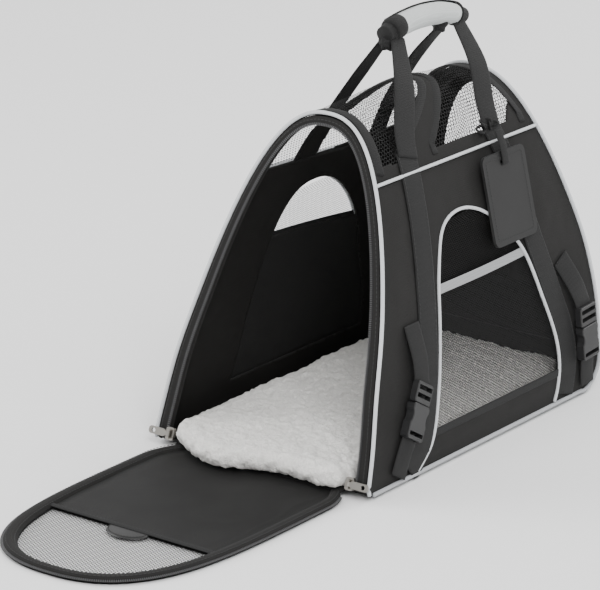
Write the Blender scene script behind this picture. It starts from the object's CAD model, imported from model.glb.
"""Looks of the pet carrier bag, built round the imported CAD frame."""
import math
import bpy
import numpy as np
from mathutils import Matrix, Vector, noise


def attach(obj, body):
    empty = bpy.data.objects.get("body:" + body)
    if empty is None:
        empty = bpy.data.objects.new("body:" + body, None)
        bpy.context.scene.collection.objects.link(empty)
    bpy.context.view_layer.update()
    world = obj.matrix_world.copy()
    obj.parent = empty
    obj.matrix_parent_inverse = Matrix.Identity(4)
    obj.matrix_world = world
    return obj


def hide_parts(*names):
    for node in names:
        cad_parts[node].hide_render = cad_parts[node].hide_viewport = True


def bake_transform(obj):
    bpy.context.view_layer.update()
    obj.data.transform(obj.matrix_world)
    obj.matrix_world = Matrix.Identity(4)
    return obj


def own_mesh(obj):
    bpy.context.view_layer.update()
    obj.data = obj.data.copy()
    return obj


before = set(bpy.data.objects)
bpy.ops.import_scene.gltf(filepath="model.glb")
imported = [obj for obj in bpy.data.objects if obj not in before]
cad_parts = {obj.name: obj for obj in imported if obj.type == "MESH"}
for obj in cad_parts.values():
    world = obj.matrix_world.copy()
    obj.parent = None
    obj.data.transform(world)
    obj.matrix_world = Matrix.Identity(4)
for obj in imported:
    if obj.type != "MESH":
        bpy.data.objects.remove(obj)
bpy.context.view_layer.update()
MM = 0.001

# ---- shape of the body (mm)
HALF, TALL = 126.0, 339.0  # half width at the floor, height of the crown
LEAN = math.radians(16.5)  # how far the front leans back from upright
FRONT_FOOT, FRONT_CORNER = -219.0, 16.0  # front at the floor, radius of its lower corner
REAR_FOOT, REAR_CORNER = 178.0, 38.0  # where the rear's lower corner begins, and its radius
REAR_Y, REAR_BOW = 216.0, 380.0  # rear above that corner, radius of its bow
SEAM_Z, WEB_TOP = 283.0, 300.0  # seam between side and top, upper end of the webs
DOOR_LONG, HINGE_Y = 333.0, FRONT_FOOT + 9.5 * math.tan(LEAN)
PAD_FROM_HINGE = 203.0  # length of the door's padded half
REAR_NET_Z = 205.0  # lower edge of the rear net
POCKET_Z, SILL = 171.0, 36.0  # upper edge of the window pockets, lower edge of the windows
# outlines on the side, as (y, z) from front to rear
WINDOW = [(-133, 4), (-103, 30), (-88, 75), (-77, 130), (-66, 185), (-45, 226), (-5, 236), (40, 219),
          (84, 178), (112, 119), (130, 76), (135, 45), (130, 20), (122, 4)]
WEBS = {"front": [(-150, 4), (-122, 30), (-107, 75), (-99, 130), (-90, 190), (-81, 250), (-70, WEB_TOP)],
        "rear": [(142, 4), (152, 45), (147, 76), (130, 119), (107, 180), (92, 240), (80, WEB_TOP)]}
LEFT_WEB = [(-150, 4), (-122, 30), (-107, 75), (-99, 130), (-87, 185), (-70, 222), (-57, 246),
            (-46, 268), (-32, WEB_TOP)]
BELTS = {"front": {"top": (-125, 152), "joint": (-133, 76), "foot": (-168, 12)},
         "rear": {"top": (149, 152), "joint": (180, 76), "foot": (184, 12)}}
SIDES = {"right": 1, "left": -1}


def arch_x(z, inset=0.0, side=None):
    """Half width of the body at height z."""
    share = min(max(z / (TALL - inset), 0.0), 1.0)
    return (HALF - (inset if side is None else side)) * (1 - share ** 1.4) ** (1 / 2.4)


def seam_z(y, sign):
    """Height of the seam between side and mesh top; the left one has sagged."""
    return SEAM_Z if sign > 0 else 271 - 8 * min(max((y + 125) / 150, 0), 1)


def front_y(z):
    """Front edge of the body at height z, the lower corner rounded."""
    plane = FRONT_FOOT + z * math.tan(LEAN)
    if z >= 20.5:
        return plane - 3.5 * math.exp(-((z - 95) / 45) ** 2)
    if z >= FRONT_CORNER:
        return plane
    return plane + (FRONT_CORNER - math.sqrt(max(FRONT_CORNER ** 2 - (FRONT_CORNER - z) ** 2, 0)))


def rear_y(z):
    """Rear edge of the body at height z."""
    if z < REAR_CORNER:
        return REAR_FOOT + math.sqrt(max(REAR_CORNER ** 2 - (REAR_CORNER - z) ** 2, 0))
    if z < 60:
        return REAR_Y
    if z < 190:
        return REAR_Y - REAR_BOW + math.sqrt(REAR_BOW ** 2 - (z - 60) ** 2)
    return 193.1 - (z - 190) * math.tan(math.radians(20))


def smooth_line(points, count):
    """Catmull-Rom curve through points, count samples evenly spaced."""
    p = np.array(points, float)
    p = np.vstack([2 * p[0] - p[1], p, 2 * p[-1] - p[-2]])
    out = []
    for i in range(1, len(p) - 2):
        for t in np.linspace(0, 1, 24, endpoint=False):
            a, b, c, d = p[i - 1], p[i], p[i + 1], p[i + 2]
            out.append(0.5 * (2 * b + (c - a) * t + (2 * a - 5 * b + 4 * c - d) * t * t
                              + (3 * b - a - 3 * c + d) * t ** 3))
    out.append(p[-2])
    return even(np.array(out), count)


def rows_of(points):
    """The points as rows of an array."""
    return np.array([tuple(p) for p in points], float)


def distances(line):
    """How far along the line each of its points is."""
    return np.concatenate([[0], np.cumsum(np.linalg.norm(np.diff(line, axis=0), axis=1))])


def point_at(values, run, at):
    """Vector between the rows of values, at a distance along the line."""
    return Vector([np.interp(at, run, values[:, k]) for k in range(3)])


def even(line, count):
    """The same line with count evenly spaced points."""
    line = rows_of(line)
    run = distances(line)
    at = np.linspace(0, run[-1], count)
    return np.array([np.interp(at, run, line[:, k]) for k in range(line.shape[1])]).T


def arch_line(inset, z_low=0.0, count=160, side=None, left_low=None):
    """(x, z) points of the arch from the right foot over the crown to the left foot."""
    share = np.sin(np.linspace(0, math.pi / 2, 400))
    halves = []
    for low in (z_low, z_low if left_low is None else left_low):
        z = low + (TALL - inset - low) * share
        halves.append(np.array([(arch_x(h, inset, side), h) for h in z]))
    both = np.vstack([halves[0], (halves[1] * [-1, 1])[::-1][1:]])
    return even(both, count)


def side_normal(z, sign):
    """Direction that points straight out of a side at height z."""
    slope = (arch_x(z + 1) - arch_x(z - 1)) / 2 if 1 < z < 337 else -0.2
    return Vector((sign, 0, -slope)).normalized()


def on_side(y, z, out, sign):
    """Point beside the side cloth, out from it (mm in, Vector in mm out)."""
    return Vector((sign * arch_x(z), y, z)) + side_normal(z, sign) * out


# ---- materials
def node(tree, kind, sockets=(), **settings):
    """New node. sockets gives inputs a plain value or the output they are linked to."""
    made = tree.nodes.new(kind)
    for key, value in settings.items():
        setattr(made, key, value)
    for key, value in dict(sockets).items():
        if isinstance(value, bpy.types.NodeSocket):
            tree.links.new(value, made.inputs[key])
        else:
            made.inputs[key].default_value = value
    return made


def calculate(tree, operation, *values):
    """Output of a math node on plain values or outputs."""
    return node(tree, "ShaderNodeMath", enumerate(values), operation=operation).outputs[0]


def weave_height(tree, place, scale):
    """Height of crossed threads."""
    waves = []
    for direction in "XZY":
        sockets = {"Scale": scale / 6.0, "Distortion": 0.6, "Detail": 1.0, "Vector": place}
        wave = node(tree, "ShaderNodeTexWave", sockets, wave_type="BANDS", bands_direction=direction)
        waves.append(wave.outputs["Fac"])
    crossed = calculate(tree, "MULTIPLY", waves[1], waves[2])
    return calculate(tree, "MAXIMUM", crossed, calculate(tree, "MULTIPLY", waves[0], 0.5))


def curl_height(tree, place, scale):
    """Height of curled tufts."""
    warp = node(tree, "ShaderNodeTexNoise", {"Scale": scale * 0.6, "Detail": 5.0, "Vector": place})
    mix = node(tree, "ShaderNodeMix", {0: 0.04, 4: place, 5: warp.outputs["Color"]}, data_type="VECTOR")
    cell = node(tree, "ShaderNodeTexVoronoi", {"Scale": scale, "Vector": mix.outputs[1]}, feature="SMOOTH_F1")
    return cell.outputs["Distance"]


def surface(name, color, rough, scale, bump, spread=0.12, pattern="weave", metal=0.0, sheen=0.0,
            depth=0.0004, gloss=0.18):
    """Procedural surface: patchy colour, a weave, curl or grain pattern, and bump."""
    mat = bpy.data.materials.new(name)
    mat.use_nodes = True
    tree = mat.node_tree
    place = node(tree, "ShaderNodeTexCoord").outputs["Object"]
    patch = node(tree, "ShaderNodeTexNoise", {"Scale": 22.0, "Detail": 6.0, "Vector": place}).outputs["Fac"]
    if pattern == "weave":
        fine = weave_height(tree, place, scale)
    elif pattern == "curl":
        fine = curl_height(tree, place, scale)
    else:
        grain = node(tree, "ShaderNodeTexNoise", {"Scale": scale, "Detail": 4.0, "Vector": place})
        fine = grain.outputs["Fac"]
    dark = (*[c * (1 - spread) for c in color], 1)
    light = (*[min(c * (1 + spread), 1) for c in color], 1)
    patchy = node(tree, "ShaderNodeMix", {0: patch, 6: dark, 7: light}, data_type="RGBA")
    tone = node(tree, "ShaderNodeMapRange", {"To Min": 0.55, "To Max": 1.25, "Value": fine})
    shade = node(tree, "ShaderNodeMix", {0: 0.45, 6: patchy.outputs[2], 7: tone.outputs[0]}, data_type="RGBA",
                 blend_type="MULTIPLY")
    roughness = node(tree, "ShaderNodeMapRange", {"To Min": max(rough - 0.08, 0.05),
                                                  "To Max": min(rough + 0.08, 1), "Value": patch})
    raised = node(tree, "ShaderNodeBump", {"Strength": bump, "Distance": depth, "Height": fine})
    bsdf = tree.nodes["Principled BSDF"]
    bsdf.inputs["Metallic"].default_value = metal
    bsdf.inputs["Sheen Weight"].default_value = sheen
    bsdf.inputs["Specular IOR Level"].default_value = gloss
    tree.links.new(shade.outputs[2], bsdf.inputs["Base Color"])
    tree.links.new(roughness.outputs[0], bsdf.inputs["Roughness"])
    tree.links.new(raised.outputs[0], bsdf.inputs["Normal"])
    return mat


def netting(name, color, pitch, threshold):
    """See-through mesh cloth: round holes in a honeycomb layout over the piece's own surface map."""
    mat = surface(name, color, 0.7, 1400.0, 0.3, spread=0.2, pattern="grain")
    tree = mat.node_tree
    flat = node(tree, "ShaderNodeTexCoord").outputs["UV"]
    split = node(tree, "ShaderNodeSeparateXYZ", {0: flat})
    wave_number = 2 * math.pi / (pitch * MM)
    total = None
    for angle in (0, 120, 240):
        turn = math.radians(angle)
        first = calculate(tree, "MULTIPLY", split.outputs[0], wave_number * math.cos(turn))
        phase = calculate(tree, "MULTIPLY_ADD", split.outputs[1], wave_number * math.sin(turn), first)
        cosine = calculate(tree, "COSINE", phase)
        total = cosine if total is None else calculate(tree, "ADD", total, cosine)
    hole = calculate(tree, "GREATER_THAN", total, threshold)
    clear = node(tree, "ShaderNodeBsdfTransparent")
    mix = node(tree, "ShaderNodeMixShader", {0: hole, 1: tree.nodes["Principled BSDF"].outputs[0],
                                             2: clear.outputs[0]})
    tree.links.new(mix.outputs[0], tree.nodes["Material Output"].inputs["Surface"])
    return mat


# colour, roughness, pattern scale and bump of each finish
MAT = {
    "cloth": surface("body_weave", (0.0135, 0.013, 0.0125), 0.8, 2700, 0.35, sheen=0.02),
    "lining": surface("lining_twill", (0.008, 0.0075, 0.007), 0.7, 2200, 0.25),
    "quilt": surface("door_lining", (0.010, 0.0098, 0.0095), 0.62, 2600, 0.25, sheen=0.02),
    "piping": surface("piping_cord", (0.60, 0.615, 0.63), 0.55, 3500, 0.3, spread=0.06),
    "base_piping": surface("base_cord", (0.40, 0.41, 0.425), 0.5, 3500, 0.3, spread=0.08),
    "webbing": surface("ribbed_web", (0.013, 0.013, 0.013), 0.66, 1500, 0.7, sheen=0.02),
    "thread": surface("thread", (0.035, 0.035, 0.035), 0.7, 5000, 0.3, pattern="grain"),
    "grip": surface("grip_weave", (0.55, 0.575, 0.57), 0.75, 2400, 0.35, sheen=0.1, spread=0.07),
    "band": surface("reflective_tape", (0.30, 0.305, 0.31), 0.42, 3200, 0.2, spread=0.07, gloss=0.4),
    "plastic": surface("buckle_plastic", (0.017, 0.017, 0.0175), 0.42, 2600, 0.08, pattern="grain",
                    spread=0.08, gloss=0.32),
    "teeth": surface("coil_teeth", (0.075, 0.075, 0.077), 0.4, 2500, 0.1, pattern="grain", gloss=0.4),
    "nickel": surface("nickel_plate", (0.34, 0.325, 0.30), 0.3, 1800, 0.05, pattern="grain", metal=1.0,
                    spread=0.05, gloss=0.5),
    "tag": surface("leatherette", (0.014, 0.014, 0.014), 0.55, 1500, 0.25, pattern="grain", spread=0.1,
                    gloss=0.3),
    "fleece": surface("fleece_curl", (0.84, 0.825, 0.79), 0.95, 260, 0.8, pattern="curl", sheen=0.3,
                    depth=0.002, spread=0.04),
    "patch": surface("patch_rubber", (0.012, 0.012, 0.012), 0.4, 2200, 0.15, pattern="grain", gloss=0.4),
    "board": surface("stiff_board", (0.03, 0.03, 0.03), 0.6, 1200, 0.1, pattern="grain"),
    "net_side": netting("net_side", (0.014, 0.014, 0.014), 2.2, -0.85),
    "net_pocket": netting("net_pocket", (0.012, 0.012, 0.012), 2.8, -1.0),
    "net_top": netting("net_top", (0.012, 0.012, 0.012), 3.6, -0.95),
    "net_door": netting("net_door", (0.016, 0.016, 0.016), 3.0, -0.7),
}


# ---- mesh makers (points in mm)
def piece(name, verts, faces, mat, body, slot, replaces=(), smooth=True, grid=None):
    """Mesh object from points in mm, of one material or two. grid is its surface map, if it needs one."""
    data = bpy.data.meshes.new(name)
    data.from_pydata([tuple(Vector(v) * MM) for v in verts], [], faces)
    data.update()
    for finish in (mat if isinstance(mat, tuple) else (mat,)):
        data.materials.append(MAT[finish])
    data.polygons.foreach_set("use_smooth", [smooth] * len(data.polygons))
    if grid is not None:
        corner = np.zeros(len(data.loops), np.int64)
        data.loops.foreach_get("vertex_index", corner)
        data.uv_layers.new(name="map").data.foreach_set("uv", grid[corner].ravel())
    obj = bpy.data.objects.new(name, data)
    bpy.context.scene.collection.objects.link(obj)
    if body:
        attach(obj, body)
    if replaces:
        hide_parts(*replaces)
    return obj


def apply_modifiers(obj):
    """Turns the object's modifiers into its mesh."""
    bpy.context.view_layer.update()
    bpy.context.view_layer.objects.active = obj
    for o in bpy.context.selected_objects:
        o.select_set(False)
    obj.select_set(True)
    for mod in list(obj.modifiers):
        bpy.ops.object.modifier_apply(modifier=mod.name)
    obj.select_set(False)


def thicken(obj, mm, inner=0, offset=-1.0):
    """Gives a sheet a thickness; inner is the slot of the material on its far side."""
    mod = obj.modifiers.new("thick", "SOLIDIFY")
    mod.thickness = mm * MM
    mod.offset = offset
    mod.material_offset = inner
    apply_modifiers(obj)


def grid_faces(rows, cols, around=False):
    """Faces of a grid of points; around also joins the last column to the first."""
    out = []
    for i in range(rows - 1):
        for j in range(cols if around else cols - 1):
            k = (j + 1) % cols
            out.append((i * cols + j, i * cols + k, (i + 1) * cols + k, (i + 1) * cols + j))
    return out


def sheet(rows, cols, point_of):
    """Points of a grid; point_of gets the shares of the way down it and across it."""
    return [point_of(i / (rows - 1), j / (cols - 1)) for i in range(rows) for j in range(cols)]


def closed_faces(rows, sides):
    """Faces of rings joined into a tube, with both ends shut."""
    last = (rows - 1) * sides
    return grid_faces(rows, sides, around=True) + [tuple(range(sides))[::-1],
                                                   tuple(last + k for k in range(sides))]


def used_only(verts, faces):
    """The indices that the faces use, their points, and the faces renumbered to fit."""
    used = sorted({v for face in faces for v in face})
    place = {v: k for k, v in enumerate(used)}
    return used, [verts[v] for v in used], [tuple(place[v] for v in face) for face in faces]


def tube(name, line, radius, mat, body, slot, replaces=(), closed=False, flat=1.0, sides=10, up=(0, 0, 1)):
    """Round cord swept along a line."""
    line = [Vector(p) for p in line]
    count = len(line)
    verts = []
    for i, here in enumerate(line):
        ahead = line[(i + 1) % count] if closed else line[min(i + 1, count - 1)]
        back = line[i - 1] if closed else line[max(i - 1, 0)]
        along = (ahead - back).normalized()
        first = along.cross(Vector(up))
        if first.length < 1e-4:
            first = along.cross(Vector((1, 0, 0)))
        first.normalize()
        second = along.cross(first).normalized()
        size = radius(i / (count - 1)) if callable(radius) else radius
        for k in range(sides):
            turn = 2 * math.pi * k / sides
            verts.append(here + first * (size * math.cos(turn)) + second * (size * flat * math.sin(turn)))
    faces = closed_faces(count, sides)
    if closed:
        last = (count - 1) * sides
        faces[-2:] = [(last + k, last + (k + 1) % sides, (k + 1) % sides, k) for k in range(sides)]
    return piece(name, verts, faces, mat, body, slot, replaces)


def ribbon(name, line, normals, width, thick, mat, body, slot, replaces=()):
    """Flat web along a line, with rounded edges. Width may be a function of 0..1."""
    line = [Vector(p) for p in line]
    count = len(line)
    outline = []
    for turn in np.linspace(0, 2 * math.pi, 16, endpoint=False):
        c, s = math.cos(turn), math.sin(turn)
        outline.append((math.copysign(abs(c) ** 0.35, c), math.copysign(abs(s) ** 0.8, s)))
    verts = []
    for i, here in enumerate(line):
        along = (line[min(i + 1, count - 1)] - line[max(i - 1, 0)]).normalized()
        normal = Vector(normals[i])
        normal = (normal - along * normal.dot(along)).normalized()
        across = along.cross(normal)
        wide = width(i / (count - 1)) if callable(width) else width
        for a, b in outline:
            bend = 0.25 * (1 - a * a)
            verts.append(here + across * (a * wide / 2) + normal * (b * thick / 2 + bend))
    return piece(name, verts, closed_faces(count, len(outline)), mat, body, slot, replaces)


def cord(name, line, radius, replaces=(), finish="piping"):
    """Piping along a line."""
    return tube(name, line, radius, finish, "carrier", finish, replaces)


def web_on(name, line, normals, width, thick, body="carrier", replaces=()):
    """Ribbon of plain webbing."""
    return ribbon(name, line, normals, width, thick, "webbing", body, "webbing", replaces)


def stitches(name, line, normals, body, slot, pitch=4.2, length=2.8):
    """Row of separate stitches lying on a surface."""
    line, normals = rows_of(line), rows_of(normals)
    run = distances(line)
    size = 0.45
    verts, faces = [], []
    for at in np.arange(pitch / 2, run[-1] - length, pitch):
        ends = [point_at(line, run, t) for t in (at, at + length)]
        normal = point_at(normals, run, at).normalized()
        along = (ends[1] - ends[0]).normalized()
        across = along.cross(normal)
        base = len(verts)
        ring = [(-1, 0), (-0.5, 0.9), (0.5, 0.9), (1, 0)]
        for share, lift in ((0, 0.1), (0.25, 1), (0.75, 1), (1, 0.1)):
            centre = ends[0].lerp(ends[1], share)
            for a, b in ring:
                verts.append(centre + across * (a * size) + normal * (b * size * lift))
        faces += [tuple(base + q for q in f) for f in grid_faces(4, 4)]
    return piece(name, verts, faces, "thread", body, slot)


def teeth(name, line, normals, body):
    """Row of zip teeth along a line."""
    line, normals = rows_of(line), rows_of(normals)
    run = distances(line)
    size = (1.5, 0.55, 1.1)
    pitch = 2.0
    verts, faces = [], []
    cube = [(-1, -1, 0), (1, -1, 0), (1, 1, 0), (-1, 1, 0),
            (-.8, -.7, 1), (.8, -.7, 1), (.8, .7, 1), (-.8, .7, 1)]
    for at in np.arange(1.0, run[-1] - 1.0, pitch):
        here = point_at(line, run, at)
        there = point_at(line, run, at + 0.8)
        normal = point_at(normals, run, at).normalized()
        along = (there - here).normalized()
        across = along.cross(normal)
        base = len(verts)
        for a, b, c in cube:
            verts.append(here + across * (a * size[0]) + along * (b * size[1]) + normal * (c * size[2]))
        faces += [tuple(base + q for q in f) for f in
                  ((0, 3, 2, 1), (4, 5, 6, 7), (0, 1, 5, 4), (1, 2, 6, 5), (2, 3, 7, 6), (3, 0, 4, 7))]
    return piece(name, verts, faces, "teeth", body, "zip_teeth", smooth=False)


def split_at(verts, faces, height):
    """Cuts faces along a height, adding points; gives the faces above it and those below."""
    cut, above, below = {}, [], []
    for face in faces:
        upper, lower = [], []
        for a, b in zip(face, face[1:] + face[:1]):
            (upper if verts[a].z >= height else lower).append(a)
            if (verts[a].z >= height) != (verts[b].z >= height):
                low, high = min(a, b), max(a, b)
                if (low, high) not in cut:
                    share = (height - verts[low].z) / (verts[high].z - verts[low].z)
                    cut[low, high] = len(verts)
                    verts.append(verts[low].lerp(verts[high], share))
                upper.append(cut[low, high])
                lower.append(cut[low, high])
        above += [tuple(upper)] if len(upper) > 2 else []
        below += [tuple(lower)] if len(lower) > 2 else []
    return above, below


def spread_out(verts, rows, cols):
    """Surface map of a grid: distances along its rows and columns, in metres."""
    p = rows_of(verts).reshape(rows, cols, 3)
    along = np.zeros((rows, cols))
    along[:, 1:] = np.cumsum(np.linalg.norm(np.diff(p, axis=1), axis=2), axis=1)
    along -= along[:, cols // 2][:, None]
    down = np.zeros((rows, cols))
    down[1:] = np.cumsum(np.linalg.norm(np.diff(p, axis=0), axis=2), axis=0)
    down = np.repeat(down[:, cols // 2][:, None], cols, axis=1)
    return np.stack([along, down], axis=2).reshape(-1, 2) * MM


def inside(y, z, outline):
    """Whether a point lies inside a closed outline."""
    hit = False
    for k in range(len(outline)):
        (y0, z0), (y1, z1) = outline[k - 1], outline[k]
        if (z0 > z) != (z1 > z) and y < (y1 - y0) * (z - z0) / (z1 - z0) + y0:
            hit = not hit
    return hit


# the window's whole outline, and the closed loop of its opening above the sill
WINDOW_CURVE = smooth_line(WINDOW, 150)
SILL_FRONT = (np.interp(SILL, WINDOW_CURVE[:40, 1], WINDOW_CURVE[:40, 0]), SILL)
SILL_REAR = (134.0, SILL)
HOLE = [SILL_FRONT] + [tuple(p) for p in WINDOW_CURVE if p[1] >= SILL] + [SILL_REAR]
HOLE_LOOP = np.vstack([even(HOLE, 160), even([SILL_REAR, SILL_FRONT], 60)])


def window_ends(z):
    """Front and rear edge of the window at height z."""
    return (np.interp(z, WINDOW_CURVE[:80, 1], WINDOW_CURVE[:80, 0]),
            np.interp(-z, -WINDOW_CURVE[84:140, 1], WINDOW_CURVE[84:140, 0]))


def puff(y, z, sign):
    """How far the padded side cloth stands out: fuller between seams, lightly creased."""
    edge = min(y - front_y(z), rear_y(z) - y, SEAM_Z - z, z - 4) / 22.0
    full = 1 - math.exp(-max(edge, 0))
    crease = noise.noise(Vector((y * 0.021, z * 0.013, sign * 3.1))) * 1.5
    crease += noise.noise(Vector((y * 0.055, z * 0.06, sign * 7.7))) * 0.5
    return full * (0.8 + crease)


# ---- side panels
def window_cut(flat, cells):
    """Drops the cells inside the window and pulls the ragged edge onto the window's outline."""
    outline = [tuple(p) for p in HOLE_LOOP]
    left = []
    for cell in cells:
        y, z = flat[list(cell)].mean(axis=0)
        if not (-110 < y < 140 and 34 < z < 240 and inside(y, z, outline)):
            left.append(cell)
    count = {}
    for cell in left:
        for k in range(4):
            edge = tuple(sorted((cell[k - 1], cell[k])))
            count[edge] = count.get(edge, 0) + 1
    for v in {v for edge, n in count.items() if n == 1 for v in edge}:
        y, z = flat[v]
        if -108 < y < 142 and 31 < z < 242:
            gap = np.linalg.norm(HOLE_LOOP - flat[v], axis=1)
            if gap.min() < 5:
                flat[v] = HOLE_LOOP[gap.argmin()]
    return left


def side_shell(side, sign):
    """Padded side cloth with its window opening."""
    rows, cols, foot, edge = 96, 132, 4, 2.2
    flat = []
    for k in range(rows):
        share = (k / (rows - 1)) ** 1.15
        level = foot + (SEAM_Z - foot) * share
        for j in range(cols):
            t = j / (cols - 1)
            y = front_y(level) + edge + (rear_y(level) - front_y(level) - 2 * edge) * t
            z = foot + (seam_z(y, sign) - foot) * share
            flat.append([front_y(z) + edge + (rear_y(z) - front_y(z) - 2 * edge) * t, z])
    flat = np.array(flat)
    _, points, faces = used_only(flat, window_cut(flat, grid_faces(rows, cols)))
    verts = [on_side(y, z, puff(y, z, sign), sign) for y, z in points]
    if sign < 0:
        faces = [f[::-1] for f in faces]
    obj = piece(f"side_shell_{side}", verts, faces, ("cloth", "lining"), "carrier", "body_cloth",
                (f"side_panel_{side}",))
    thicken(obj, 3.0, inner=1)


def side_net(side, sign):
    """Netting over the window, sagging a little inwards."""
    rows, cols, top = 60, 70, 236

    def point_of(up, across):
        z = SILL - 1 + (237.5 - SILL) * up
        front, rear = window_ends(z) if z < top else (-8, 0)
        sag = -1.6 - 3.0 * math.sin(math.pi * up) * math.sin(math.pi * across)
        return on_side(front - 1 + (rear - front + 2) * across, z, sag, sign)
    verts = sheet(rows, cols, point_of)
    piece(f"side_net_{side}", verts, grid_faces(rows, cols), "net_side", "carrier", "mesh",
          (f"window_mesh_{side}",), grid=spread_out(verts, rows, cols))


def window_trim(side, sign):
    """Piping round the window and the tape along its sill."""
    cord_line = [on_side(y, z, 1.2, sign) for y, z in WINDOW_CURVE if z > 5]
    cord(f"window_cord_{side}", cord_line, 1.75, (f"window_piping_{side}",))
    sill_line = [on_side(y, SILL, 0.6, sign) for y in np.linspace(-99, 133, 60)]
    web_on(f"sill_tape_{side}", sill_line, [side_normal(SILL, sign)] * 60, 8, 1.4)


for side_name, side_sign in SIDES.items():
    side_shell(side_name, side_sign)
    side_net(side_name, side_sign)
    window_trim(side_name, side_sign)


def pocket(name, sign, mat, slot, node_name):
    """Pocket inside a window, and the line of its upper edge; the left one's edge slopes."""
    rows, cols, count, out = 46, 70, 60, -0.6
    slope = 13

    def point_of(up, across):
        rise = slope * (1 - across) if sign < 0 else 0
        z = SILL + (POCKET_Z + rise - SILL) * up
        front, rear = window_ends(z)
        lift = out + 1.5 * math.sin(math.pi * across) * up ** 2
        return on_side(front + (rear - front) * across, z, lift, sign)
    verts = sheet(rows, cols, point_of)
    obj = piece(name, verts, grid_faces(rows, cols), mat, "carrier", slot, (node_name,),
                grid=spread_out(verts, rows, cols))
    front, rear = window_ends(POCKET_Z)
    line = []
    for t in np.linspace(0, 1, count):
        rise = 2 * t ** 2 if sign > 0 else slope * (1 - t)
        lift = out + 0.8 + 1.5 * math.sin(math.pi * t)
        line.append(on_side(front + (rear - front) * t, POCKET_Z + rise, lift, sign))
    return obj, line


_, tape_line = pocket("pocket_net", 1, "net_pocket", "mesh", "pocket_mesh_right")
ribbon("pocket_tape", tape_line, [side_normal(POCKET_Z, 1)] * 60, 9.5, 1.0, "band", "carrier",
       "pocket_band", ("pocket_band_right",))
cloth_pocket, tape_line = pocket("pocket_cloth", -1, "cloth", "body_cloth", "pocket_panel_left")
thicken(cloth_pocket, 0.8, offset=0)
web_on("pocket_tape_left", tape_line, [side_normal(POCKET_Z, -1)] * 60, 9.5, 1.0)


# ---- mesh top
def crown_edge(name, x, z):
    """Where a binding of the top nets lies along the bag; b and c bow to the rear at the crown."""
    bow = max(1 - (x / 58) ** 2, 0)
    slant = 0.5 * max(77 + x, 0)
    b_side, c_side = (-80, -23) if x > 0 else (-64 + slant, -30 + slant)
    return {"a": front_y(z) + 13, "b": b_side + (28 - b_side) * bow, "c": c_side + (45 - c_side) * bow,
            "d": 137 - max(z - 300, 0) * 0.45}[name]


def crown_rise(x, y):
    """The straps pull the crown up between the two arches."""
    share = min(max((y + 122) / 262, 0), 1)
    return 8 * math.exp(-((x / 45) ** 2)) * math.sin(math.pi * share) ** 1.5


def is_net(x, y, z):
    """Whether a point of the top lies in one of its two nets."""
    if z <= (296 if x > 0 else 266):
        return False
    front = front_y(z) + (15 if x > 0 else 9) < y < crown_edge("b", x, z) - 1
    rear = crown_edge("c", x, z) + 1 < y < crown_edge("d", x, z) + 1
    return front or (rear and x < 62 - max(y - 110, 0) * 0.6)


def make_top():
    """Top cloth, its nets, the piping along its lower edges and the bindings between the nets."""
    rows, cols = 120, 100
    verts, cloth, net = [], [], []
    for i in range(rows):
        u = i / (rows - 1)
        for x, z in arch_line(0, SEAM_Z - 1, cols, left_low=seam_z(-125 + 290 * u, -1) - 1):
            low, high = front_y(z) + 2.5, rear_y(z) - 2.5
            y = low + (high - low) * u
            rise = crown_rise(x, y) - 0.7 * noise.noise(Vector((x * 0.05, y * 0.04, 2.2)))
            verts.append((x, y, z + rise))
    spread = spread_out(verts, rows, cols)
    for face in grid_faces(rows, cols):
        middle = np.mean([verts[v] for v in face], axis=0)
        (net if is_net(*middle) else cloth).append(face[::-1])
    used, points, faces = used_only(verts, cloth)
    obj = piece("top_cloth", points, faces, ("cloth", "lining"), "carrier", "body_cloth", ("top_frame",),
                grid=spread[used])
    thicken(obj, 1.6, inner=1)
    used, points, faces = used_only(verts, net)
    piece("top_net", points, faces, "net_top", "carrier", "mesh", ("top_mesh_front", "top_mesh_rear"),
          grid=spread[used])
    for side, sign in SIDES.items():
        line = [on_side(y, seam_z(y, sign), 1.4, sign)
                for y in np.linspace(front_y(SEAM_Z) + 3, rear_y(SEAM_Z) - 3, 90)]
        cord(f"top_cord_{side}", line, 1.75, ("top_edge_piping",) if sign > 0 else ())
    for label, wide in (("a", 12), ("b", 9), ("c", 9), ("d", 10)):
        line, normals = [], []
        for x, z in arch_line(0, 290, 70, left_low=266):
            y = crown_edge(label, x, z)
            line.append(Vector((x, y, z + crown_rise(x, y) + 0.4)))
            normals.append(Vector((x * 0.6, 0, 60)).normalized())
        web_on(f"binding_{label}", line, normals, wide, 1.3)


make_top()


# ---- front rim, rear end, base
def front_arch(inset, z_low, count, depth, side=None):
    """Line along the front's arch, depth inside the front plane."""
    return [front_point(x, z, depth) for x, z in arch_line(inset, z_low, count, side=side)]


def front_point(x, z, depth):
    """Point at height z, depth behind the front."""
    return Vector((x, front_y(z) + depth * math.cos(LEAN), z))


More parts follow.
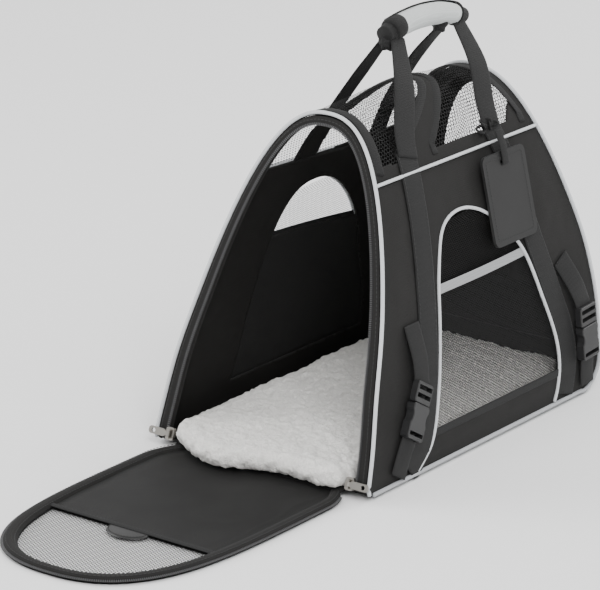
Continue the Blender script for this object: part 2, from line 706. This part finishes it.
def make_front():
    """Rim round the mouth with its piping, zip, wire and stitches."""
    count = 150
    outer = arch_line(2.2, 14, count)
    inner = arch_line(10, 14, count, side=13)
    profile = [(0.0, 0.4), (0.15, -0.6), (0.4, -1.1), (0.65, -1.0), (0.85, -0.2), (1.0, 1.2), (1.02, 5.0),
               (0.98, 9.0), (0.7, 10.0)]
    verts = []
    for k in range(count):
        for share, depth in profile:
            x, z = outer[k] * (1 - share) + inner[k] * share
            verts.append(front_point(x, z, depth))
    piece("front_rim", verts, [f[::-1] for f in grid_faces(count, len(profile))], "cloth", "carrier",
          "body_cloth", ("front_gusset",))
    cord("front_cord", front_arch(-1.2, 6, 170, 0.8), 1.95, ("front_piping",))
    normal = Vector((0, -math.cos(LEAN), math.sin(LEAN)))
    teeth("front_teeth", front_arch(9.6, 16, 200, -0.4, side=12.6), [normal] * 200, "carrier")
    web_on("front_zip_tape", front_arch(7.6, 16, 160, -0.2, side=10.6), [normal] * 160, 5.5, 0.8,
           replaces=("front_zip_chain",))
    tube("front_hoop", front_arch(5, 12, 120, 6), 3.2, "lining", "carrier", "wire", ("front_hoop_wire",))
    stitches("front_stitch", front_arch(5.0, 16, 200, -1.2), [normal] * 200, "carrier", "body_cloth")


def rear_arch(inset, z_low, count, out):
    """Line along the rear's arch, out behind its edge."""
    return [Vector((x, rear_y(z) + out, z)) for x, z in arch_line(inset, z_low, count)]


def make_rear():
    """Bulged rear panel with its rim, the net window above, the pocket zip, piping and wire."""
    count = 140
    rings = [(2.2, 0.4), (5, 0.2), (9.5, 0.6), (10.5, -4), (11, -11), (13, -15), (20, -16.8), (28, -17.3),
             (36, -17.5), (44, -17.6), (56, -17.7), (70, -17.8), (86, -17.8), (100, -17.9), (122, -18)]
    rim_rings = 6
    lines = [arch_line(inset, 40 + min(inset * 0.4, 40), count) for inset, _ in rings]
    verts = []
    for k in range(count):
        for (inset, sunk), line in zip(rings, lines):
            x, z = line[k]
            wave = 1.2 * noise.noise(Vector((x * 0.02, z * 0.02, 9.0))) if inset > 13 else 0
            if inset > 100:
                x = 0
            verts.append(Vector((x, rear_y(max(z, 40)) - sunk + wave, z)))
    cols = len(rings)
    border, middle = [], []
    for face in grid_faces(count, cols):
        (middle if min(v % cols for v in face) >= rim_rings else border).append(face)
    net, pocket_faces = split_at(verts, middle, REAR_NET_Z)
    piece("rear_net", verts, net, "net_top", "carrier", "mesh",
          grid=np.array([[v.x, v.z] for v in verts]) * MM)
    obj = piece("rear_shell", verts, border + pocket_faces, ("cloth", "lining"), "carrier", "body_cloth",
                ("rear_gusset", "rear_panel"))
    thicken(obj, 2.4, inner=1)
    edge = rear_arch(20, REAR_NET_Z - 1, 90, 17.6)
    edge += [Vector((x, rear_y(REAR_NET_Z) + 18.6, REAR_NET_Z))
             for x in np.linspace(edge[-1].x, edge[0].x, 40)]
    web_on("rear_net_tape", edge, [Vector((0, 1, 0.3)).normalized()] * len(edge), 9, 1.1)
    cord("rear_cord", rear_arch(-1.0, 38, 150, -1), 1.95, ("rear_piping",))
    tube("rear_hoop", rear_arch(5, 42, 120, -6), 3.0, "lining", "carrier", "wire", ("rear_hoop_wire",))
    zip_z = 150
    zip_line = [Vector((x, rear_y(zip_z) + 18.6, zip_z)) for x in np.linspace(-88, 88, 120)]
    back = Vector((0, 1, 0.1)).normalized()
    teeth("rear_pocket_teeth", zip_line, [back] * 120, "carrier")
    web_on("rear_pocket_tape", [p - back * 0.6 for p in zip_line], [back] * 120, 13, 0.9)


def rear_bottom():
    """Closes the rear shell between its lowest edge and the base."""
    rows, cols = 30, 12

    def point_of(across, up):
        x = -116 + 232 * across
        bulge = 18 * math.sin(math.pi / 2 * up) * (1 - (x / 118) ** 8)
        return Vector((x, 215 + bulge, 37 + 52 * up * up))
    obj = piece("rear_hem", sheet(rows, cols, point_of), grid_faces(rows, cols), ("cloth", "lining"),
                "carrier", "body_cloth")
    thicken(obj, 2.2, inner=1)


def make_base():
    """Piping along the base's side edges and up its rear corners."""
    line = [(-206 + 384 * t, 4.6) for t in np.linspace(0, 1, 90)]
    for turn in np.linspace(0, math.pi / 2, 24)[1:]:
        line.append((REAR_FOOT + 35.5 * math.sin(turn), REAR_CORNER - 34.5 * math.cos(turn)))
    for side, sign in SIDES.items():
        cord(f"base_cord_{side}", [on_side(y, z, 1.2, sign) for y, z in line], 2.2,
             ("base_piping",) if sign > 0 else (), finish="base_piping")


make_front()
make_rear()
rear_bottom()
make_base()


# ---- webs, straps, grip
def sewn_web(side, sign, place, outline):
    """Web sewn down the side, with a row of stitches near each edge."""
    count = 90
    curve = smooth_line(outline, count)
    curve = even(curve[curve[:, 1] > 8], count)
    line = [on_side(y, z, puff(y, z, sign) * 0.6 + 1.4, sign) for y, z in curve]
    normals = [side_normal(z, sign) for _, z in curve]
    web = web_on(f"web_{place}_{side}", line, normals, 31, 2.0,
                 replaces=(f"carry_webs_{side}",) if place == "front" else ())
    # its slanting foot stays above the ground
    for vertex in web.data.vertices:
        vertex.co.z = max(vertex.co.z, 1.2 * MM)
    for label, edge in (("a", -13.2), ("b", 13.2)):
        row, facing = [], []
        for i, p in enumerate(line):
            if p.z < 14:
                continue
            along = (line[min(i + 1, count - 1)] - line[max(i - 1, 0)]).normalized()
            across = along.cross(normals[i]).normalized()
            row.append(p + across * edge + normals[i] * 0.95)
            facing.append(normals[i])
        stitches(f"web_seam_{place}_{side}_{label}", row, facing, "carrier", "webbing")


def free_strap(side, sign, place):
    """Strap from the top of a web up to the end of the grip; it folds as the grip drops."""
    count = 50
    if place == "front":
        y0, y1, z1 = -70 if sign > 0 else -33, -9, 397
        out_shift, middle_shift, reach = 8, 2, 34 if sign > 0 else 30
    else:
        y0, y1, z1 = 80, 100, 393
        out_shift, middle_shift, reach = 3, 4, 34
    start = on_side(y0, 296, 2.4, sign)
    out = on_side(y0 + out_shift, 316, 6.5, sign)
    middle = Vector((sign * reach, (y0 + y1) / 2 + middle_shift, 356))
    end = Vector((sign * 5, y1, z1))
    curve = smooth_line([start, out, middle, end], count)
    normals = []
    for i in range(count):
        along = Vector(curve[min(i + 1, count - 1)] - curve[max(i - 1, 0)]).normalized()
        outwards = Vector((sign, 0, 0.55))
        normals.append((outwards - along * outwards.dot(along)).normalized())
    strap = web_on(f"strap_{place}_{side}", curve, normals, lambda t: 30 - 9 * max(t - 0.6, 0) / 0.4, 2.2,
                   replaces=(f"carry_straps_{side}",) if place == "front" else ())
    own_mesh(strap)


def make_webs():
    """All the carrying webs and straps."""
    for side, sign in SIDES.items():
        for place, outline in WEBS.items():
            sewn_web(side, sign, place, LEFT_WEB if (side, place) == ("left", "front") else outline)
        for place in WEBS:
            free_strap(side, sign, place)


GRIP_Y, GRIP_Z = 35, 157.5  # centre of the grip's bow
GRIP_ENDS = math.radians(74.5), math.radians(100.3)  # rear and front end of its wrap


def grip_up(turn):
    """Direction from the centre of the bow to the grip."""
    return Vector((0, math.cos(turn), math.sin(turn)))


def grip_point(turn):
    """Point on the middle line of the grip."""
    return Vector((0, GRIP_Y + 250 * math.cos(turn), GRIP_Z + 250 * math.sin(turn)))


def grip_round(turn, around, radius):
    """Point beside the grip's middle line."""
    sideways = Vector((radius * math.sin(around), 0, 0))
    return grip_point(turn) + sideways + grip_up(turn) * (radius * math.cos(around))


def grip_tube(name, line, radius, replaces=(), **shape):
    """Rolled webbing of the grip."""
    tube(name, line, radius, "webbing", "handle", "webbing", replaces, **shape)


def grip_wrap():
    """The padded wrap, a little narrower at its ends."""
    low, high = GRIP_ENDS
    rows, sides = 60, 36
    verts = []
    for i in range(rows):
        t = i / (rows - 1)
        turn = low + (high - low) * t
        swell = 1 + 0.03 * math.sin(math.pi * t) - 0.16 * (abs(2 * t - 1) ** 10)
        for k in range(sides):
            a = 2 * math.pi * k / sides
            crease = 1 + 0.03 * noise.noise(Vector((math.cos(a) * 1.2, math.sin(a) * 1.2, t * 5)))
            flat = 1 - 0.1 * max(math.cos(a), 0) ** 4
            r = 11.6 * swell * crease * flat
            verts.append(grip_round(turn, a, r))
    faces = [f[::-1] for f in closed_faces(rows, sides)]
    wrap = piece("grip_pad", verts, faces, "grip", "handle", "grip_cloth", ("grip_wrap",))


def make_grip():
    """Wrap, bindings, seam, the webs inside it and the gathered webbing at its ends."""
    grip_wrap()
    low, high = GRIP_ENDS
    block = [grip_point(t) for t in np.linspace(high - 0.045, high + 0.02, 12)]
    grip_tube("grip_front_block", block, lambda t: 12.4 - 1.2 * abs(2 * t - 1) ** 3, sides=24)
    for label, turn in (("rear", low + 0.008), ("front", high - 0.008)):
        ring = [grip_round(turn, a, 11.0) for a in np.linspace(0, 2 * math.pi, 40, endpoint=False)]
        grip_tube(f"grip_binding_{label}", ring, 1.5, closed=True, up=(0, math.sin(turn), -math.cos(turn)))
    seam, normals = [], []
    for turn in np.linspace(low, high, 50):
        out = (grip_up(turn) * 0.85 + Vector((-0.53, 0, 0))).normalized()
        seam.append(grip_point(turn) + out * 11.6)
        normals.append(out)
    web_on("grip_seam", seam, normals, 9.5, 1.2, body="handle")
    core = [grip_point(t) for t in np.linspace(math.radians(71), math.radians(104), 50)]
    grip_tube("grip_core", core, lambda t: 8 + 1.4 * abs(math.sin(9 * t)) * (abs(2 * t - 1) > 0.8),
              ("grip_webs",), sides=18)
    for k, (y, z, size) in enumerate(((-14, 239.5, 9.5), (-19, 234, 8.5), (74, 235.5, 8.5))):
        gather(f"grip_gather_{k}", Vector((0, y, GRIP_Z + z)), size)


def gather(name, centre, size):
    """Bunched end of webbing: a ball with folds."""
    rows, sides = 14, 22
    verts = []
    for i in range(rows):
        lat = math.pi * (i + 0.5) / rows - math.pi / 2
        for j in range(sides):
            lon = 2 * math.pi * j / sides
            r = size * (1 + 0.16 * math.sin(5 * lon + 2 * lat) * math.cos(lat))
            wide, tall = math.cos(lat), 0.9 * math.sin(lat)
            verts.append(centre + Vector((wide * math.cos(lon), tall, wide * math.sin(lon))) * r)
    piece(name, verts, closed_faces(rows, sides), "webbing", "handle", "webbing")


make_webs()
make_grip()


# ---- belts
def make_belts():
    """Webbing below and above each seat-belt buckle; the upper piece folds as the buckle lets go."""
    for side, sign in SIDES.items():
        for place, spots in BELTS.items():
            name = f"{place}_{side}"
            foot, joint, top = (Vector((sign * (arch_x(spots[spot][1]) + out), *spots[spot]))
                                for spot, out in (("foot", 3.7), ("joint", 3.7), ("top", 2.6)))
            along = (joint - foot).normalized()
            reach = (joint - foot).length
            normal = Vector((sign, 0, 0.1)).normalized()
            lower = [foot + along * (reach - 34.0) * t + normal * (0.4 + 2.5 * t * t)
                     for t in np.linspace(0, 1, 20)]
            web_on(f"lower_{name}", lower, [normal] * 20, 25, 1.7, replaces=(f"belt_lower_{name}",))
            start = joint + along * 18 + normal * 3.2
            line = smooth_line([start, start.lerp(top, 0.45) + normal * 3.2, top], 30)
            upper = web_on(f"upper_{name}", line, [normal] * 30, 25, 1.7, replaces=(f"belt_upper_{name}",))
            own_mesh(upper)
            box = [top + Vector((0, a, b)) + normal * 1.2
                   for a, b in ((-9, -3), (9, -3), (9, -19), (-9, -19), (-9, -3))]
            stitches(f"tack_{name}", even(box, 40), [normal] * 40, "carrier", "webbing", 3.4, 2.4)


make_belts()


# ---- door (v runs from the hinge to the tip)
def door_half(v, inset=0.0):
    """Half width of the door at v."""
    share = min(max(v / (DOOR_LONG - inset), 0), 1)
    full = (112 - inset) * max(1 - share ** 5.0, 0) ** 0.42
    return full - 14 * max(0, 1 - v / 40) ** 2


def door_line(inset, start, count, z):
    """Line round the door at height z, from its right root over the tip to the left root."""
    v = start + (DOOR_LONG - inset - start) * np.sin(np.linspace(0, math.pi / 2, 500)) ** 0.8
    right = np.array([(door_half(a, inset), a) for a in v])
    right[-1, 0] = 0
    both = np.vstack([right, (right * [-1, 1])[::-1][1:]])
    return [Vector((x, HINGE_Y - a, z)) for x, a in even(both, count)]


def door_wave(x, v):
    """Uneven height of the door's soft cloth."""
    return 0.8 + 0.8 * noise.noise(Vector((x * 0.02, v * 0.018, 4.4)))


def at_height(verts, z):
    """The same points, all at one height."""
    return [Vector((v.x, v.y, z)) for v in verts]


def door_rim():
    """Raised binding round the door, and the cloth under it."""
    count = 220
    profile = [(0.5, 2.0), (0.2, 4.2), (1.2, 5.8), (3.5, 6.8), (6.5, 6.9), (9.5, 6.2), (11.8, 4.6),
               (12.8, 2.8)]
    lines = [door_line(1.8 + inset, 0, count, z) for inset, z in profile]
    verts = [line[k] for k in range(count) for line in lines]
    faces = grid_faces(count, len(profile))
    return [piece("door_rim", verts, faces, "cloth", "door", "body_cloth", ("door_binding",)),
            piece("door_underside", at_height(verts, 0.4), [f[::-1] for f in faces], "cloth", "door",
                  "body_cloth")]


def door_sheet(near, far, lift_of):
    """Points of a sheet across the door, from near to far."""
    rows, cols = 60, 60

    def point_of(down, across):
        v = near + (far - near) * down
        half = door_half(v, 12.5) if v < DOOR_LONG - 12.6 else 0.5
        share = 2 * across - 1
        lift = lift_of(1 - abs(share), door_wave(half * share, v))
        return Vector((half * share, HINGE_Y - v, lift))
    verts = sheet(rows, cols, point_of)
    return verts, grid_faces(rows, cols), spread_out(verts, rows, cols)


def door_sheets():
    """Padded half with its back, and the net half."""
    verts, faces, spread = door_sheet(0, PAD_FROM_HINGE, lambda edge, wave: 2.6 + min(edge * 6, 1) + wave)
    made = [piece("door_pad", verts, faces[::-1], "quilt", "door", "lining", ("door_panel",), grid=spread),
            piece("door_pad_back", at_height(verts, 0.3), faces, "cloth", "door", "body_cloth")]
    verts, faces, spread = door_sheet(PAD_FROM_HINGE, DOOR_LONG - 13, lambda edge, wave: 2.0 + wave * 0.5)
    net = piece("door_net", verts, faces[::-1], "net_door", "door", "mesh", ("door_mesh",), grid=spread)
    return made + [net]


def door_badge_arc(wide, long, z, count):
    """Half oval on the door's seam."""
    return [Vector((wide * math.cos(a), HINGE_Y - PAD_FROM_HINGE - 3 - long * math.sin(a), z))
            for a in np.linspace(0, math.pi, count)]


def door_trim():
    """Seam tape, stitches, zip and the plain patch."""
    up = Vector((0, 0, 1))
    seam = [Vector((x, HINGE_Y - PAD_FROM_HINGE, 4.6)) for x in np.linspace(-98, 98, 80)]
    made = [web_on("door_seam_tape", seam, [up] * 80, 7, 1.0, body="door"),
            stitches("door_seam_stitch", [p + Vector((0, 2.6, 0.5)) for p in seam], [up] * 80, "door",
                     "webbing")]
    for inset, z in ((4.2, 7.0), (12.0, 6.0)):
        made.append(stitches(f"door_stitch_{int(inset)}", door_line(inset, 4, 200, z), [up] * 200, "door",
                             "body_cloth"))
    made.append(teeth("door_teeth", door_line(1.2, 14, 220, 3.4), [up] * 220, "door"))
    made.append(web_on("door_zip_tape", door_line(1.9, 12, 200, 3.0), [up] * 200, 5, 0.9, body="door",
                       replaces=("door_zip_chain",)))
    verts = []
    for share, z in ((0.0, 4.4), (0.86, 4.4), (0.94, 4.2), (1.0, 2.6)):
        verts += door_badge_arc(23 * share, 19 * share, z, 30)
    made.append(piece("door_badge", verts, [f[::-1] for f in grid_faces(4, 30)], "patch", "door", "tag_skin",
                      ("door_patch",)))
    badge_edge = door_badge_arc(21, 17.3, 4.5, 40)
    made.append(stitches("door_badge_stitch", badge_edge, [up] * 40, "door", "tag_skin", 3, 2))
    return made


def hinge_cloth():
    """Cloth between the base's front edge and the door; it bends as the door swings."""
    rows, cols = 24, 50

    def point_of(t, across):
        y = -199 - 22 * t
        x = (99 + 5 * (1 - t)) * (2 * across - 1)
        return Vector((x, y, 7.5 - 3.0 * t + math.sin(math.pi * t) + 0.4 * door_wave(x, y)))
    verts = sheet(rows, cols, point_of)
    hinge = piece("hinge_cloth", verts, grid_faces(rows, cols)[::-1], "cloth", None, "body_cloth")
    thicken(hinge, 1.2, offset=0)
    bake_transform(hinge)


# the open door is fuller at its shoulders than the mouth, so it narrows as it closes
for door_part in door_rim() + door_sheets() + door_trim():
    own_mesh(door_part)
hinge_cloth()


# ---- fleece pad
PAD_REAR = 192


def pad_points(rows, cols):
    """Upper and lower face of the pad, thinning to its middle height at the edges."""
    top, low = [], []
    for i in range(rows):
        t = i / (rows - 1)
        for j in range(cols):
            u = 2 * j / (cols - 1) - 1
            front = -236 - 17 * math.exp(-((u * 107 + 40) / 48) ** 2) + 14 * abs(u) ** 6 + 4 * math.sin(u * 5)
            y = front + (PAD_REAR - front) * t
            half = 106 if y > -205 else 106 - 8 * min((-205 - y) / 20, 1)
            half -= 8 * max(t - 0.93, 0) / 0.07 * abs(u)
            x = half * u
            edge = min((1 - abs(u)) * half, (y - front), (PAD_REAR - y)) / 13.0
            full = math.sqrt(max(1 - (1 - min(edge, 1)) ** 2, 0))
            thick = 20 + 2.5 * noise.noise(Vector((x * 0.022, y * 0.022, 1.7)))
            middle = (8.2 if y > -214 else 8.6) + 10.5
            top.append(Vector((x, y, middle + (thick - 9) * full)))
            low.append(Vector((x, y, middle - 10.3 * full)))
    return top, low


def curl_up(obj):
    """Pushes the fleece's surface into uneven curls, and keeps it off the floor of the bag."""
    count = len(obj.data.vertices)
    place, facing = np.zeros(count * 3), np.zeros(count * 3)
    obj.data.vertices.foreach_get("co", place)
    obj.data.vertex_normals.foreach_get("vector", facing)
    place, facing = place.reshape(-1, 3), facing.reshape(-1, 3)
    curls = [noise.noise(Vector(p) * 120) * 2.4 + noise.noise(Vector(p) * 300) * 1.3 for p in place]
    place += facing * np.array(curls)[:, None] * MM
    place[:, 2] = np.maximum(place[:, 2], 0.0075)
    obj.data.vertices.foreach_set("co", place.ravel())
    obj.data.update()


def make_pad():
    """Fleece pad; its front hangs out over the sill and draws back as the door closes."""
    rows, cols = 92, 46
    top, low = pad_points(rows, cols)
    shift = len(top)
    upper = grid_faces(rows, cols)
    faces = [f[::-1] for f in upper] + [tuple(v + shift for v in f) for f in upper]
    loop = list(range(cols)) + [i * cols + cols - 1 for i in range(1, rows)]
    loop += [(rows - 1) * cols + j for j in range(cols - 2, -1, -1)]
    loop += [i * cols for i in range(rows - 2, 0, -1)]
    for a, b in zip(loop, loop[1:] + loop[:1]):
        faces.append((a, b, b + shift, a + shift))
    pad = piece("fleece_pad", top + low, faces, "fleece", "floor_pad", "fleece",
                ("floor_pad", "floor_pad_lip"))
    pad.modifiers.new("weld", "WELD").merge_threshold = 0.0002
    pad.modifiers.new("fine", "SUBSURF").levels = 2
    apply_modifiers(pad)
    curl_up(pad)
    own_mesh(pad)


make_pad()


# ---- tag
def make_tag():
    """Stitches round the tag, its strap, and the curled end of webbing it hangs from."""
    lean = math.radians(14.5)
    down = Vector((math.sin(lean), 0, -math.cos(lean)))
    out = Vector((math.cos(lean), 0, math.sin(lean)))
    top = Vector((80, 71, 277))
    corners = [top + Vector((0, a, 0)) + down * b + out * 3.05
               for a, b in ((-33, 6), (33, 6), (33, 86), (-33, 86), (-33, 6))]
    stitches("tag_stitch", even(corners, 160), [out] * 160, "luggage_tag", "tag_skin", 3.4, 2.4)
    spots = [top + down * 13 + out * 0.5, top + down * 12 + out * 4.3, top - down * 3 + out * 4.6,
             Vector((76, 71, 298))]
    web_on("tag_strap_web", smooth_line(spots, 30), [out] * 30, 12, 1.7, body="luggage_tag",
           replaces=("tag_strap",))
    for k, (y, z, size) in enumerate(((60, 296, 7), (70, 300, 8), (80, 297, 7))):
        loop = [on_side(y + size * math.cos(t), z + 0.5 * size * math.sin(t),
                        4.4 + 2.2 * math.sin(2 * t + k), 1)
                for t in np.linspace(0, 2 * math.pi, 30, endpoint=False)]
        tube(f"tag_curl_{k}", loop, 1.5, "webbing", "carrier", "webbing", ("tag_loop",) if k == 0 else (),
             closed=True, flat=0.7, up=(1, 0, 0.3))


make_tag()

# ---- finishes of the CAD pieces
FINISH_OF = {"base_panel": "cloth", "base_board": "board", "tag_body": "tag", "buckle": "plastic",
             "zip_slider": "nickel", "pull_tab": "nickel"}
for node_name, cad_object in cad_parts.items():
    for start, finish in FINISH_OF.items():
        if node_name.startswith(start):
            for entry in cad_object.material_slots:
                entry.material = MAT[finish]


# ---- studio and camera
def studio():
    """Pale floor, white surroundings and three soft lights."""
    size, level = 6.0, -0.0005
    corners = [(-size, -size, level), (size, -size, level), (size, size, level), (-size, size, level)]
    mesh = bpy.data.meshes.new("studio_floor")
    mesh.from_pydata(corners, [], [(0, 1, 2, 3)])
    floor = bpy.data.objects.new("studio_floor", mesh)
    bpy.context.scene.collection.objects.link(floor)
    mat = bpy.data.materials.new("studio_white")
    mat.use_nodes = True
    tree = mat.node_tree
    bsdf = tree.nodes["Principled BSDF"]
    speck = node(tree, "ShaderNodeTexNoise", {"Scale": 3.0})
    tone = node(tree, "ShaderNodeMapRange", {"To Min": 0.86, "To Max": 0.89, "Value": speck.outputs["Fac"]})
    tree.links.new(tone.outputs[0], bsdf.inputs["Base Color"])
    bsdf.inputs["Roughness"].default_value = 0.9
    mesh.materials.append(mat)
    world = bpy.data.worlds.new("studio")
    bpy.context.scene.world = world
    world.use_nodes = True
    back = world.node_tree.nodes["Background"]
    back.inputs["Color"].default_value = (1, 1, 1, 1)
    back.inputs["Strength"].default_value = 1.15
    for name, place, energy, wide in (
            ("key", (2.2, -2.4, 2.8), 130, 1.8), ("fill", (-2.8, -1.4, 1.9), 60, 2.2),
            ("rim", (0.6, 2.6, 2.6), 60, 1.6)):
        light = bpy.data.lights.new(name, "AREA")
        light.energy = energy
        light.size = wide
        obj = bpy.data.objects.new(name, light)
        obj.location = place
        aim = Vector((0, -0.05, 0.15)) - Vector(place)
        obj.rotation_euler = aim.to_track_quat("-Z", "Y").to_euler()
        bpy.context.scene.collection.objects.link(obj)


def camera():
    """Long-lens camera, a little above the bag and in front of its right side."""
    azimuth, elevation, roll = math.radians(34.592), math.radians(18.216), math.radians(1.787)
    distance = 3.708
    back = Vector((math.sin(azimuth) * math.cos(elevation), -math.cos(azimuth) * math.cos(elevation),
                   math.sin(elevation)))
    target = Vector((-0.05888, -0.07036, 0.13163))
    data = bpy.data.cameras.new("view")
    data.lens = 222.95
    data.clip_end = 50
    cam = bpy.data.objects.new("view", data)
    turn = (-back).to_track_quat("-Z", "Y").to_matrix().to_4x4() @ Matrix.Rotation(roll, 4, "Z")
    cam.matrix_world = Matrix.Translation(target + back * distance) @ turn
    bpy.context.scene.collection.objects.link(cam)
    bpy.context.scene.camera = cam


studio()
camera()
